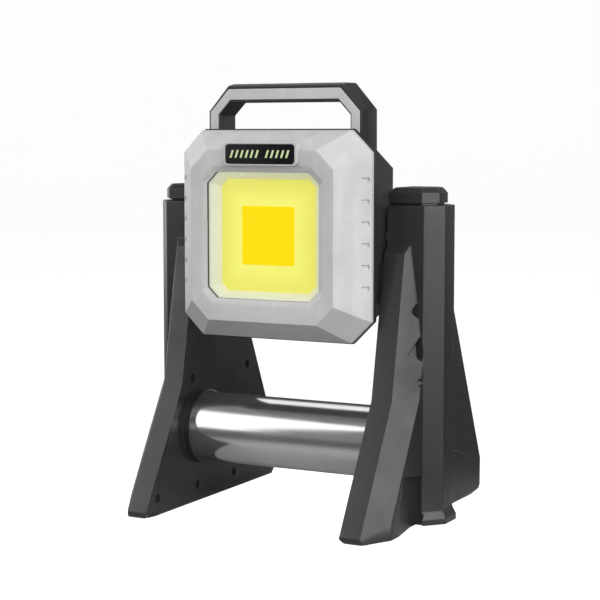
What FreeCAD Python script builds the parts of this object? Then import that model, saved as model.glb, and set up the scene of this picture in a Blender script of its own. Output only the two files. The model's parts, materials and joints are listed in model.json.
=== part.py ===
"""Cordless work light: a tilting lamp head carried between two braced side stands.

Millimetres.  X is the width, Y runs from the front (-) to the back (+), Z is up and
the floor is Z = 0.  The light is symmetric about X = 0, so the right-hand stand is
built once and mirrored.  Every node is written to parts/NODE.step.
"""
import FreeCAD, Part
import math
import os

V = FreeCAD.Vector

# ------------------------------------------------------------------ driving sizes: stands
INNER_X = 74.6            # inner faces of the stands, half the gap the head hangs in
LEG_EDGE_X = 90.0         # where the flat front of a leg turns into its outer bevel
COLUMN_EDGE_X = 102.0     # outer edge of the column's front face
OUTER_X = 112.5           # outermost face of the column
WING_X = 98.4             # outer face of the rear wing
COLUMN_FRONT_Y = -22.0
COLUMN_BACK_Y = 19.0
COLUMN_BEVEL_Y = 12.0     # depth of the column's two outer bevels
BODY_TOP_Z = 219.5
HALF_DEPTH = 95.0         # the feet reach this far to the front and to the back
SHELL_BOTTOM_Z = 1.0      # the rubber pads hold the shells this far off the floor
WALL = 3.0
BEND = (-46.3, 88.8)      # (y, z) where the leg kicks forward
LEG_TOP = (-26.7, 187.0)  # (y, z) where the leg starts to close into the column
LEG_BEVEL = (12.0, 19.4)  # outer bevel of the leg, across X and along Y
STAND_PROFILE = [
    (-HALF_DEPTH, 3.2),
    (-93.0, SHELL_BOTTOM_Z),
    (88.0, SHELL_BOTTOM_Z),
    (HALF_DEPTH, 8.0),
    (HALF_DEPTH, 27.0),
    (COLUMN_BACK_Y, 191.6),
    (COLUMN_FRONT_Y, 192.4),
    LEG_TOP,
    BEND,
    (-HALF_DEPTH, 5.4),
]
FLARE = 2.5               # how far the column's foot flares outwards
CAP_TOP_Z = 231.5
COVER_THICKNESS = 2.5
COVER_SCREWS = [(-32.0, 92.0), (48.0, 93.0), (-80.0, 13.0), (-26.0, 13.0), (27.0, 13.0),
                (-1.0, 150.0), (-1.0, 209.0)]

# ------------------------------------------------------------------ driving sizes: crossbar
TUBE_Y = -19.0
TUBE_Z = 55.6
TUBE_RADIUS = 25.0
TUBE_WALL = 1.5
TUBE_END_X = 87.9
SOCKET_RADIUS = 28.0

# ------------------------------------------------------------------ driving sizes: head
HEAD_Z = 198.2            # height of the head's middle and of the tilt axis
PIVOT_Y = -10.0
FACE_Y = -64.5            # flat front of the bezel
CREASE_Y = -48.5          # where the bezel's facets turn into its rim strip
RIM_Y = -43.5             # widest line of the bezel
JOINT_Y = -40.0           # bezel meets the rear housing
BODY_Y = -36.0            # back of the housing's flange
SHOULDER_Y = -4.5         # where the housing's back starts to taper
BACK_Y = 4.0
# outlines are (half width, half height, corner cut)
FACE_OUTLINE = (55.0, 58.7, 13.0)
CREASE_OUTLINE = (68.5, 68.7, 14.5)
RIM_OUTLINE = (73.3, 72.0, 15.2)
FLANGE_OUTLINE = (73.6, 72.9, 16.0)
HOUSING_OUTLINE = (71.0, 66.0, 20.0)
BACK_OUTLINE = (62.0, 57.0, 15.0)
WINDOW = (43.2, 43.4, 7.6)
LENS = (46.6, 47.4, 9.2)
FLOOR_OPENING = (36.5, 38.6, 5.0)
COB_HALF = 20.2
BOARD_HALF = 40.5
POSTS = [(54.0, 44.0), (-54.0, 44.0), (54.0, -44.0), (-54.0, -44.0)]
SINK_POSTS = [(49.6, 30.0), (-49.6, 30.0), (49.6, -30.0), (-49.6, -30.0)]
PAD_X = 73.6              # outer face of the head's side pads
HANDLE_HALF = 61.0
HANDLE_TOP_Z = 302.6
HANDLE_FRONT_Y = -31.0
HANDLE_BACK_Y = -9.0
HANDLE_BAR = 10.0
BUTTON_Z = HEAD_Z + 36.0
PORT_Z = HEAD_Z - 38.0
PIN_RADIUS = 4.0
SLACK = 0.3               # gap kept between parts that move past each other


# ------------------------------------------------------------------ small building tools
def prism_x(points, x0, x1):
    """Fill an outline of (y, z) points and run it from x0 to x1."""
    wire = Part.makePolygon([V(x0, y, z) for y, z in points + points[:1]])
    return Part.Face(wire).extrude(V(x1 - x0, 0, 0))


def prism_y(points, y0, y1):
    """Fill an outline of (x, z) points and run it from y0 to y1."""
    wire = Part.makePolygon([V(x, y0, z) for x, z in points + points[:1]])
    return Part.Face(wire).extrude(V(0, y1 - y0, 0))


def prism_z(points, z0, z1):
    """Fill an outline of (x, y) points and run it from z0 to z1."""
    wire = Part.makePolygon([V(x, y, z0) for x, y in points + points[:1]])
    return Part.Face(wire).extrude(V(0, 0, z1 - z0))


def box(x0, x1, y0, y1, z0, z1):
    return Part.makeBox(x1 - x0, y1 - y0, z1 - z0, V(x0, y0, z0))


def rod_x(radius, x0, x1, y, z):
    return Part.makeCylinder(radius, x1 - x0, V(x0, y, z), V(1, 0, 0))


def rod_y(radius, y0, y1, x, z):
    return Part.makeCylinder(radius, y1 - y0, V(x, y0, z), V(0, 1, 0))


def rod_z(radius, z0, z1, x, y):
    return Part.makeCylinder(radius, z1 - z0, V(x, y, z0), V(0, 0, 1))


def join(*shapes):
    body = shapes[0]
    for shape in shapes[1:]:
        body = body.fuse(shape)
    return body.removeSplitter()


def cut(body, *tools):
    for tool in tools:
        body = body.cut(tool)
    return body


def mirrored(shape):
    return shape.mirror(V(0, 0, 0), V(1, 0, 0))


def inset(points, distance):
    """Move every side of an outline inwards by the distance (negative: outwards)."""
    area = 0.0
    count = len(points)
    for i in range(count):
        ax, ay = points[i]
        bx, by = points[(i + 1) % count]
        area += ax * by - bx * ay
    turn = 1.0 if area > 0 else -1.0
    lines = []
    for i in range(count):
        ax, ay = points[i]
        bx, by = points[(i + 1) % count]
        length = math.hypot(bx - ax, by - ay)
        ux, uy = (bx - ax) / length, (by - ay) / length
        lines.append((ax - uy * distance * turn, ay + ux * distance * turn, ux, uy))
    moved = []
    for i in range(count):
        px, py, ux, uy = lines[i - 1]
        qx, qy, vx, vy = lines[i]
        cross = ux * vy - uy * vx
        t = ((qx - px) * vy - (qy - py) * vx) / cross
        moved.append((px + ux * t, py + uy * t))
    return moved


def octagon(outline, shrink=0.0):
    """(x, z) corners of a head outline, optionally with every side moved inwards."""
    half_x, half_z, corner = outline
    points = [
        (half_x - corner, -half_z), (half_x, -half_z + corner),
        (half_x, half_z - corner), (half_x - corner, half_z),
        (-half_x + corner, half_z), (-half_x, half_z - corner),
        (-half_x, -half_z + corner), (-half_x + corner, -half_z),
    ]
    points = [(x, z + HEAD_Z) for x, z in points]
    return inset(points, shrink) if shrink else points


def taper_y(points_a, y_a, points_b, y_b):
    """A solid that changes from one (x, z) outline to another along Y."""
    wire_a = Part.makePolygon([V(x, y_a, z) for x, z in points_a + points_a[:1]])
    wire_b = Part.makePolygon([V(x, y_b, z) for x, z in points_b + points_b[:1]])
    return Part.makeLoft([wire_a, wire_b], True, True)


def taper_z(points_a, z_a, points_b, z_b):
    """A solid that changes from one (x, y) outline to another along Z."""
    wire_a = Part.makePolygon([V(x, y, z_a) for x, y in points_a + points_a[:1]])
    wire_b = Part.makePolygon([V(x, y, z_b) for x, y in points_b + points_b[:1]])
    return Part.makeLoft([wire_a, wire_b], True, True)


def round_box(x0, x1, y0, y1, z0, z1, radius):
    """A block whose four edges along Y are rounded."""
    body = box(x0, x1, y0, y1, z0, z1)
    edges = [e for e in body.Edges if abs(e.Vertexes[0].Y - e.Vertexes[1].Y) > 1e-6]
    return body.makeFillet(radius, edges)


def lead(points, bend, radius):
    """An insulated lead along straight runs whose corners are turned into arcs."""
    corners = [V(*point) for point in points]
    edges = []
    start = corners[0]
    for before, corner, after in zip(corners, corners[1:], corners[2:]):
        into = (before - corner).normalize()
        out = (after - corner).normalize()
        angle = math.acos(max(-1.0, min(1.0, into.dot(out))))
        reach = bend / math.tan(angle / 2)
        toward = (into + out).normalize()
        middle = corner + toward * (bend / math.sin(angle / 2) - bend)
        edges.append(Part.makeLine(start, corner + into * reach))
        edges.append(Part.Arc(corner + into * reach, middle, corner + out * reach).toShape())
        start = corner + out * reach
    edges.append(Part.makeLine(start, corners[-1]))
    ring = Part.Wire(Part.makeCircle(radius, corners[0], corners[1] - corners[0]))
    return Part.Wire(edges).makePipeShell([ring], True, False)


# ------------------------------------------------------------------ stands
def leg_front_y(z):
    """Front of the leg at a height, on the lower run or on the upper run."""
    if z < BEND[1]:
        slope = (BEND[0] + HALF_DEPTH) / (BEND[1] - STAND_PROFILE[-1][1])
    else:
        slope = (LEG_TOP[0] - BEND[0]) / (LEG_TOP[1] - BEND[1])
    return BEND[0] + slope * (z - BEND[1])


def leg_bevel(z0, z1, z_slope, wall):
    """The corner that is missing along the outer front edge of one run of the leg."""
    across, along = LEG_BEVEL
    shift = wall * math.hypot(across, along) / along
    y0 = BEND[0] + (leg_front_y(z_slope) - BEND[0]) * (z0 - BEND[1]) / (z_slope - BEND[1])
    y1 = BEND[0] + (leg_front_y(z_slope) - BEND[0]) * (z1 - BEND[1]) / (z_slope - BEND[1])
    edge_x = LEG_EDGE_X - shift
    near = (edge_x - across, y0 - along)
    far = (edge_x + 3 * across, y0 + 3 * along)
    corners = [V(near[0], near[1], z0), V(far[0], far[1], z0), V(far[0], near[1], z0)]
    face = Part.Face(Part.makePolygon(corners + corners[:1]))
    return face.extrude(V(0, y1 - y0, z1 - z0))


def column_outline(inner_x):
    return [
        (inner_x, COLUMN_FRONT_Y),
        (COLUMN_EDGE_X, COLUMN_FRONT_Y),
        (OUTER_X, COLUMN_FRONT_Y + COLUMN_BEVEL_Y),
        (OUTER_X, COLUMN_BACK_Y - COLUMN_BEVEL_Y),
        (COLUMN_EDGE_X, COLUMN_BACK_Y),
        (inner_x, COLUMN_BACK_Y),
    ]


def foot_outline(grow):
    """Outline of the column's foot, flared outwards on every side but the inner one."""
    corner_x = COLUMN_EDGE_X + 0.4 * grow
    return [
        (LEG_EDGE_X, COLUMN_FRONT_Y - grow),
        (corner_x, COLUMN_FRONT_Y - grow),
        (OUTER_X + grow, COLUMN_FRONT_Y + COLUMN_BEVEL_Y - 0.4 * grow),
        (OUTER_X + grow, COLUMN_BACK_Y - COLUMN_BEVEL_Y + 0.4 * grow),
        (corner_x, COLUMN_BACK_Y + grow),
        (LEG_EDGE_X, COLUMN_BACK_Y + grow),
    ]


def stand_body(wall):
    """Solid shape of a stand with every outside face moved inwards by the wall."""
    inner = INNER_X if wall == 0 else INNER_X - 2 * wall
    profile = inset(STAND_PROFILE, wall)
    bevels = [leg_bevel(BEND[1], 200.0, LEG_TOP[1], wall), leg_bevel(-2.0, BEND[1], 0.0, wall)]
    wing = cut(prism_x(profile, inner + wall, WING_X - wall), *bevels)
    leg = prism_x(profile, inner + wall, COLUMN_EDGE_X - wall)
    leg = cut(leg.common(box(0, 200, -120, COLUMN_BACK_Y - wall, 0, 210)), *bevels)
    column = prism_z(inset(column_outline(inner), wall), SHELL_BOTTOM_Z + wall, BODY_TOP_Z - wall)
    return wing, leg, column


def bevel_step(points, depth):
    """A step sunk into the bevel of the leg's upper run, with its floor parallel to the bevel.

    The (x, z) points lie on the bevel; the step stops at the column's front face.
    """
    across, along = LEG_BEVEL
    lean = (LEG_TOP[0] - BEND[0]) / (LEG_TOP[1] - BEND[1])
    normal = V(along, -across, across * lean).normalize()
    corners = [V(x, leg_front_y(z) + (x - LEG_EDGE_X) * along / across, z) - normal * depth
               for x, z in points]
    step = Part.Face(Part.makePolygon(corners + corners[:1])).extrude(normal * (depth + 6))
    return step.common(box(80, 130, -80, COLUMN_FRONT_Y, 80, 200))


def leg_notches():
    """Notches where the leg's bevel runs into the column."""
    return [bevel_step([(97.0, 153.0), (95.1, 147.8), (98.4, 142.8), (101.0, 147.8)], 3.2),
            bevel_step([(99.8, 130.6), (97.4, 124.2), (100.9, 114.6), (104.0, 122.0)], 4.0),
            bevel_step([(97.5, 124.4), (95.2, 118.5), (101.1, 114.8), (100.0, 120.0)], 1.6),
            bevel_step([(101.0, 102.4), (100.4, 100.5), (101.4, 97.2), (104.0, 100.0)], 2.4)]


def foot_chamfer():
    """Upright facet under the leg's outer bevel; it gets taller towards the column."""
    across, along = LEG_BEVEL
    reach = math.hypot(across, along)
    ux, uy = across / reach, along / reach
    plan = []
    for run, out in ((-8.0, 0.9), (32.0, -2.2), (32.0, 9.0), (-8.0, 9.0)):
        plan.append((LEG_EDGE_X + run * ux + out * uy, leg_front_y(7.0) + run * uy - out * ux))
    return prism_z(plan, 0.0, 22.0)


def leg_recess():
    """Recess low on the leg's outer wall; it gets deeper towards the column."""
    edge = COLUMN_EDGE_X
    plan = [(edge + 1, -64.0), (edge, -60.0), (edge - 4.4, -32.0), (edge - 4.4, COLUMN_FRONT_Y),
            (edge + 1, COLUMN_FRONT_Y)]
    side = [(-53.2, 40.3), (-24.9, 35.6), (COLUMN_FRONT_Y, 35.6), (COLUMN_FRONT_Y, 0.0), (-64.0, 0.0),
            (-64.0, 18.5), (-56.5, 26.0)]
    return prism_z(plan, 0.0, 45.0).common(prism_x(side, edge - 6, edge + 2))


def wing_panel():
    """Sunk foot band low on the wing, deepest beside the column, gone at the rear corner."""
    deep = 1.8
    rear = 81.0
    plan = [(WING_X - deep, COLUMN_BACK_Y - 1), (WING_X, rear), (WING_X + 1, rear),
            (WING_X + 1, COLUMN_BACK_Y - 1)]
    side = [(COLUMN_BACK_Y - 1, 42.5), (38.8, 42.5), (53.8, 39.2), (rear, 28.2), (rear, 0.0),
            (COLUMN_BACK_Y - 1, 0.0)]
    return prism_z(plan, 0.0, 45.0).common(prism_x(side, WING_X - 3, WING_X + 2))


def outer_shell():
    wing, leg, column = stand_body(0)
    foot = join(taper_z(foot_outline(FLARE), 5.0, foot_outline(0.0), 10.5),
                prism_z(foot_outline(FLARE), SHELL_BOTTOM_Z, 5.0))
    shell = join(wing, leg, column, foot)
    for hollow in stand_body(WALL):
        shell = cut(shell, hollow)
    # thicker wall behind the notches and behind the recess
    backing = [leg.common(box(88.0, 102.0, -40.0, COLUMN_FRONT_Y + WALL, 92.0, 156.0)),
               leg.common(box(94.4, 102.0, -66.0, COLUMN_FRONT_Y + WALL, SHELL_BOTTOM_Z, 44.0))]
    # screw bosses reach from the outer wall to the back of the cover
    solid = join(*stand_body(1.5))
    bosses = [rod_x(4.0, INNER_X + COVER_THICKNESS, OUTER_X, y, z) for y, z in COVER_SCREWS]
    shell = join(shell, *backing, *[boss.common(solid) for boss in bosses])
    shell = cut(shell, wing_panel(), leg_recess(), foot_chamfer(), *leg_notches())
    # the wing's bottom edge and the foot's inner front corner are chamfered
    edge = [(WING_X - 5.0, 0.0), (WING_X + 1, 0.0), (WING_X + 1, 6.0), (WING_X, 5.0)]
    wire = Part.makePolygon([V(x, COLUMN_BACK_Y + FLARE, z) for x, z in edge + edge[:1]])
    shell = cut(shell, Part.Face(wire).extrude(V(0, 100, 0)))
    corner = [(INNER_X - 1, 5.2), (INNER_X - 1, 0.0), (INNER_X + 3.4, 0.0)]
    shell = cut(shell, prism_y(corner, -HALF_DEPTH - 1, -HALF_DEPTH + 9.0))
    for y, z in COVER_SCREWS:
        shell = cut(shell, rod_x(1.5, INNER_X, INNER_X + 13.0, y, z))
    for y in CAP_PEG_Y:
        shell = cut(shell, rod_z(CAP_PEG_RADIUS + 0.06, BODY_TOP_Z - WALL - 1, BODY_TOP_Z + 1, CAP_PEG_X, y))
    for y0, y1 in PAD_SPANS:
        shell = cut(shell, box(PAD_X0, PAD_X1, y0, y1, 0, SHELL_BOTTOM_Z + PAD_POCKET))
    return shell


def inner_cover():
    """Flat plate that closes the stand, with the socket hole and the pivot boss."""
    gap = 0.15
    plate_x = INNER_X + COVER_THICKNESS
    plate = prism_x(inset(STAND_PROFILE, WALL + gap), INNER_X, plate_x)
    riser = box(INNER_X, plate_x, COLUMN_FRONT_Y + WALL + gap, COLUMN_BACK_Y - WALL - gap,
                100.0, BODY_TOP_Z - WALL - gap)
    boss = rod_x(8.6, plate_x - 0.5, 83.0, PIVOT_Y, HEAD_Z)
    cover = join(plate, riser, boss)
    cover = cut(cover, rod_x(SOCKET_RADIUS, INNER_X - 1, plate_x + 1, TUBE_Y, TUBE_Z))
    cover = cut(cover, rod_x(BUSH_RADIUS, INNER_X - 1, 84.0, PIVOT_Y, HEAD_Z))
    for y, z in COVER_SCREWS:
        cover = cut(cover, rod_x(1.7, INNER_X - 1, plate_x + 1, y, z))
        cover = cut(cover, rod_x(3.2, INNER_X - 1, INNER_X + 1.8, y, z))
    return cover


def cover_screws():
    screws = []
    for y, z in COVER_SCREWS:
        head = rod_x(2.8, INNER_X + 1.0, INNER_X + 1.8, y, z)
        shank = rod_x(1.5, INNER_X + 1.8, INNER_X + 12.0, y, z)
        slot_a = box(INNER_X, INNER_X + 1.4, y - 0.3, y + 0.3, z - 1.7, z + 1.7)
        slot_b = box(INNER_X, INNER_X + 1.4, y - 1.7, y + 1.7, z - 0.3, z + 0.3)
        screws.append(cut(join(head, shank), slot_a, slot_b))
    return Part.Compound(screws)


CAP_PEG_RADIUS = 2.6
CAP_PEG_X = 92.0
CAP_PEG_Y = (-9.0, 6.0)
PAD_SPANS = [(-86.0, -56.0), (52.0, 82.0)]
PAD_X0 = 78.0
PAD_X1 = 91.0
PAD_POCKET = 1.4
BUSH_RADIUS = 6.0


def cap_outline(shrink):
    """(x, y) outline of the cap, drawn in from the column on every side but the inner one."""
    inner = INNER_X + 0.6
    edge = COLUMN_EDGE_X - 1.8
    side = OUTER_X - 4.0
    points = [(inner, COLUMN_FRONT_Y + 1.0), (edge, COLUMN_FRONT_Y + 1.0),
              (side, COLUMN_FRONT_Y + COLUMN_BEVEL_Y - 0.5), (side, COLUMN_BACK_Y - 15.0),
              (edge, COLUMN_BACK_Y - 4.5), (inner, COLUMN_BACK_Y - 4.5)]
    points = inset(points, shrink) if shrink else points
    return [(inner, points[0][1])] + points[1:5] + [(inner, points[5][1])]


def top_cap():
    neck = prism_z(cap_outline(2.2), BODY_TOP_Z, BODY_TOP_Z + 1.5)
    block = prism_z(cap_outline(0.0), BODY_TOP_Z + 1.4, CAP_TOP_Z - 3.6)
    crown = taper_z(cap_outline(0.0), CAP_TOP_Z - 3.6, inset(cap_outline(0.0), 3.4), CAP_TOP_Z)
    pegs = [rod_z(CAP_PEG_RADIUS, BODY_TOP_Z - 7.0, BODY_TOP_Z + 1, CAP_PEG_X, y) for y in CAP_PEG_Y]
    return join(neck, block, crown, *pegs)


def foot_pads():
    pads = []
    for y0, y1 in PAD_SPANS:
        pad = box(PAD_X0, PAD_X1, y0, y1, 0, SHELL_BOTTOM_Z + PAD_POCKET)
        grooves = [box(PAD_X0 - 1, PAD_X1 + 1, y0 + 5 * i, y0 + 5 * i + 1.2, -1, 0.5)
                   for i in range(1, 6)]
        pads.append(cut(pad, *grooves))
    return Part.Compound(pads)


# ------------------------------------------------------------------ crossbar
def crossbar_tube():
    outer = rod_x(TUBE_RADIUS, -TUBE_END_X, TUBE_END_X, TUBE_Y, TUBE_Z)
    bore = rod_x(TUBE_RADIUS - TUBE_WALL, -TUBE_END_X - 1, TUBE_END_X + 1, TUBE_Y, TUBE_Z)
    return cut(outer, bore)


def tube_socket():
    """Cup that holds one end of the crossbar; its collar stands proud of the cover."""
    collar = rod_x(SOCKET_RADIUS - 1.2, INNER_X - 5.6, INNER_X + 1, TUBE_Y, TUBE_Z)
    edges = [e for e in collar.Edges if e.BoundBox.XMax < INNER_X - 5.5]
    collar = collar.makeChamfer(0.6, edges)
    sleeve = rod_x(SOCKET_RADIUS, INNER_X - 0.6, TUBE_END_X + 3.0, TUBE_Y, TUBE_Z)
    behind = INNER_X + COVER_THICKNESS
    flange = rod_x(SOCKET_RADIUS + 3.5, behind, behind + 2.5, TUBE_Y, TUBE_Z)
    socket = join(collar, sleeve, flange)
    socket = cut(socket, rod_x(TUBE_RADIUS + 0.05, 0, TUBE_END_X, TUBE_Y, TUBE_Z))
    return cut(socket, rod_x(3.2, 0, 120, TUBE_Y, TUBE_Z))


def tube_plugs():
    plug = rod_x(TUBE_RADIUS - TUBE_WALL, TUBE_END_X - 14.0, TUBE_END_X, TUBE_Y, TUBE_Z)
    plug = cut(plug, rod_x(3.0, 0, 120, TUBE_Y, TUBE_Z))
    pockets = []
    for i in range(6):
        turn = math.radians(60 * i + 30)
        y = TUBE_Y + 14.5 * math.cos(turn)
        z = TUBE_Z + 14.5 * math.sin(turn)
        pockets.append(rod_x(4.6, TUBE_END_X - 15.0, TUBE_END_X - 4.0, y, z))
    plug = cut(plug, *pockets)
    return Part.Compound([plug, mirrored(plug)])


def tube_screws():
    inner = TUBE_END_X + 3.0
    head = cut(rod_x(5.0, inner, inner + 3.6, TUBE_Y, TUBE_Z), hexagon_x(2.5, inner + 1.4, inner + 4, TUBE_Y, TUBE_Z))
    shank = rod_x(3.0, inner - 16.0, inner, TUBE_Y, TUBE_Z)
    screw = join(head, shank)
    return Part.Compound([screw, mirrored(screw)])


def hexagon_x(half_flat, x0, x1, y, z):
    reach = half_flat / math.cos(math.radians(30))
    points = []
    for i in range(6):
        turn = math.radians(60 * i + 30)
        points.append((y + reach * math.cos(turn), z + reach * math.sin(turn)))
    return prism_x(points, x0, x1)


# ------------------------------------------------------------------ tilt joint
def pivot_bush():
    bush = rod_x(BUSH_RADIUS, INNER_X, 83.0, PIVOT_Y, HEAD_Z)
    return cut(bush, rod_x(PIN_RADIUS + 0.05, 0, 120, PIVOT_Y, HEAD_Z))


def friction_washer():
    disc = rod_x(10.0, PAD_X, INNER_X - SLACK, PIVOT_Y, HEAD_Z)
    return cut(disc, rod_x(PIN_RADIUS, 0, 120, PIVOT_Y, HEAD_Z))


def pivot_pin():
    plate = rod_x(11.0, 64.0, 68.0, PIVOT_Y, HEAD_Z)
    shank = rod_x(PIN_RADIUS, 67.0, 92.4, PIVOT_Y, HEAD_Z)
    tip = Part.makeCone(PIN_RADIUS, PIN_RADIUS - 0.8, 0.8, V(92.4, PIVOT_Y, HEAD_Z), V(1, 0, 0))
    flats = [box(63, 68, PIVOT_Y - 12, PIVOT_Y + 12, HEAD_Z + 9.0, HEAD_Z + 12),
             box(63, 68, PIVOT_Y - 12, PIVOT_Y + 12, HEAD_Z - 12, HEAD_Z - 9.0),
             box(63, 68, PIVOT_Y + 3.9, PIVOT_Y + 12, HEAD_Z - 12, HEAD_Z + 12)]
    return cut(join(plate, shank, tip), *flats)


def disc_spring():
    """Conical spring washer, turned from a slanting strip."""
    x = 83.0 + SLACK
    section = [V(x, PIVOT_Y, HEAD_Z + 8.4), V(x + 0.8, PIVOT_Y, HEAD_Z + 8.4),
               V(x + 2.0, PIVOT_Y, HEAD_Z + 4.0), V(x + 1.2, PIVOT_Y, HEAD_Z + 4.0)]
    face = Part.Face(Part.makePolygon(section + section[:1]))
    ring = face.revolve(V(0, PIVOT_Y, HEAD_Z), V(1, 0, 0), 360)
    return cut(ring, rod_x(PIN_RADIUS, 0, 120, PIVOT_Y, HEAD_Z))


def lock_nut():
    x = 83.0 + SLACK + 2.0
    nut = hexagon_x(6.5, x, x + 5.0, PIVOT_Y, HEAD_Z)
    collar = rod_x(6.0, x + 5.0, x + 6.4, PIVOT_Y, HEAD_Z)
    return cut(join(nut, collar), rod_x(PIN_RADIUS, 0, 120, PIVOT_Y, HEAD_Z))


# ------------------------------------------------------------------ head
def front_bezel():
    nose = taper_y(octagon(FACE_OUTLINE), FACE_Y, octagon(CREASE_OUTLINE), CREASE_Y)
    strip = taper_y(octagon(CREASE_OUTLINE), CREASE_Y, octagon(RIM_OUTLINE), RIM_Y)
    band = prism_y(octagon(RIM_OUTLINE), RIM_Y, JOINT_Y)
    boss = round_box(-28.6, 28.6, LABEL_Y + 0.2, CREASE_Y, HEAD_Z + 47.8, HEAD_Z + 63.9, 3.0)
    bezel = join(nose, strip, band, boss)
    # the hollow inside follows the facets one wall further in
    hollow_a = taper_y(octagon(FACE_OUTLINE, 2.6), FACE_Y + 4.0, octagon(CREASE_OUTLINE, 3.0), CREASE_Y + 1.0)
    hollow_b = taper_y(octagon(CREASE_OUTLINE, 3.0), CREASE_Y + 1.0, octagon(RIM_OUTLINE, 3.0), RIM_Y + 1.0)
    hollow_c = prism_y(octagon(RIM_OUTLINE, 3.0), RIM_Y + 1.0, JOINT_Y + 1)
    bezel = cut(bezel, hollow_a, hollow_b, hollow_c)
    # window: a bevel, a short straight edge, then the seat of the gasket
    bezel = cut(bezel, taper_y(octagon(WINDOW, -5.4), FACE_Y - 0.2, octagon(WINDOW), FACE_Y + 2.0))
    bezel = cut(bezel, prism_y(octagon(WINDOW), FACE_Y + 1.9, SEAT_Y + 0.1))
    bezel = cut(bezel, prism_y(octagon(LENS), SEAT_Y, FACE_Y + 5))
    bezel = cut(bezel, round_box(-26.4, 26.4, LABEL_Y - 2, LABEL_Y + 1.1, LABEL_Z0, LABEL_Z1, 2.2))
    # grip notches down both rim strips
    for side in (-1, 1):
        for i in range(6):
            z = HEAD_Z + 2.2 + 14.6 * (i - 2.5)
            notch = Part.makeBox(5.6, 2.6, 2.8, V(-2.8, -1.3, -1.4))
            notch.rotate(V(0, 0, 0), V(0, 0, 1), side * 46)
            notch.translate(V(side * 70.4, -46.9, z))
            bezel = cut(bezel, notch)
    for x, dz in POSTS:
        post = rod_y(4.4, FACE_Y + 3.5, JOINT_Y, x, HEAD_Z + dz)
        inside = taper_y(octagon(FACE_OUTLINE, 1.2), FACE_Y + 1, octagon(RIM_OUTLINE, 1.2), JOINT_Y)
        bezel = join(bezel, post.common(inside))
        bezel = cut(bezel, rod_y(1.5, -50.0, JOINT_Y + 1, x, HEAD_Z + dz))
    for x, dz in SINK_POSTS:
        bezel = join(bezel, rod_y(2.7, FACE_Y + 3.5, SINK_Y, x, HEAD_Z + dz))
        bezel = cut(bezel, rod_y(1.25, FACE_Y + 5.5, SINK_Y + 1, x, HEAD_Z + dz))
    return bezel


LABEL_Y = FACE_Y - 1.7          # front of the label
LABEL_Z0 = HEAD_Z + 49.2
LABEL_Z1 = HEAD_Z + 62.4
SEAT_Y = FACE_Y + 2.6           # seat of the gasket behind the window's edge
GASKET_Y = SEAT_Y + 1.6         # front of the lens
LENS_Y = GASKET_Y + 2.0         # back of the lens
FLOOR_Y = -53.6                 # front of the light board
SINK_Y = FLOOR_Y + 1.6
BOARD_SCREW = 1.25
BOARD_SCREWS = [(x, z) for x in (-28.0, 28.0) for z in (-30.0, 30.0)]
LIGHT_LEAD_X = 20.0
LIGHT_LEAD_Z = HEAD_Z - 33.0


def lens_gasket():
    """Rubber ring with a lip in front of the lens and a rim around its edge."""
    ring = prism_y(octagon(LENS), SEAT_Y, LENS_Y)
    ring = cut(ring, prism_y(octagon(WINDOW), SEAT_Y - 1, LENS_Y + 1))
    return cut(ring, prism_y(octagon(LENS, 1.4), GASKET_Y, LENS_Y + 1))


def lens():
    return prism_y(octagon(LENS, 1.4), GASKET_Y, LENS_Y)


def reflector():
    """White tapered frame between the lens and the light board."""
    frame = prism_y(octagon(LENS), LENS_Y, SINK_Y)
    frame = cut(frame, taper_y(octagon(WINDOW), LENS_Y, octagon(FLOOR_OPENING), FLOOR_Y))
    pocket = box(-BOARD_HALF, BOARD_HALF, FLOOR_Y, SINK_Y, HEAD_Z - BOARD_HALF, HEAD_Z + BOARD_HALF)
    return cut(frame, pocket)


def cob_board():
    half = BOARD_HALF
    board = box(-half, half, FLOOR_Y, SINK_Y, HEAD_Z - half, HEAD_Z + half)
    holes = [rod_y(BOARD_SCREW, FLOOR_Y + 0.4, SINK_Y + 1, x, HEAD_Z + z) for x, z in BOARD_SCREWS]
    return cut(board, *holes)


def cob_emitter():
    half = COB_HALF
    return round_box(-half, half, FLOOR_Y - 0.6, FLOOR_Y, HEAD_Z - half, HEAD_Z + half, 1.2)


def board_screws():
    """Screws that pull the light board onto the sink from behind, between two fins."""
    screws = []
    back = SINK_Y + 4.0
    for x, dz in BOARD_SCREWS:
        z = HEAD_Z + dz
        head = rod_y(2.4, back, back + 1.6, x, z)
        shank = rod_y(BOARD_SCREW, FLOOR_Y + 0.4, back, x, z)
        slot = box(x - 1.6, x + 1.6, back + 1.0, back + 2, z - 0.3, z + 0.3)
        screws.append(cut(join(head, shank), slot))
    return Part.Compound(screws)


def heat_sink():
    """Extruded comb of fins with a lug at each corner and the holes for screws and leads."""
    half = 46.4
    root = SINK_Y + 4.0
    comb = [(-half, SINK_Y), (half, SINK_Y), (half, root)]
    for i in range(11):
        x = 40.0 - 8.0 * i
        comb += [(x + 0.8, root), (x + 0.8, root + 6.4), (x - 0.8, root + 6.4), (x - 0.8, root)]
    comb.append((-half, root))
    sink = prism_z(comb, HEAD_Z - half, HEAD_Z + half)
    for x, dz in SINK_POSTS:
        side = 1 if x > 0 else -1
        x0, x1 = sorted((side * (half - 1.0), x + side * 3.2))
        lug = box(x0, x1, SINK_Y, root, HEAD_Z + dz - 5, HEAD_Z + dz + 5)
        sink = join(sink, cut(lug, rod_y(1.4, SINK_Y - 1, root + 1, x, HEAD_Z + dz)))
    for x, dz in BOARD_SCREWS:
        sink = cut(sink, rod_y(BOARD_SCREW, SINK_Y - 1, root + 1, x, HEAD_Z + dz))
    for side in (-1, 1):
        sink = cut(sink, rod_y(1.5, SINK_Y - 1, root + 1, side * LIGHT_LEAD_X, LIGHT_LEAD_Z))
    return sink


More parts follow.
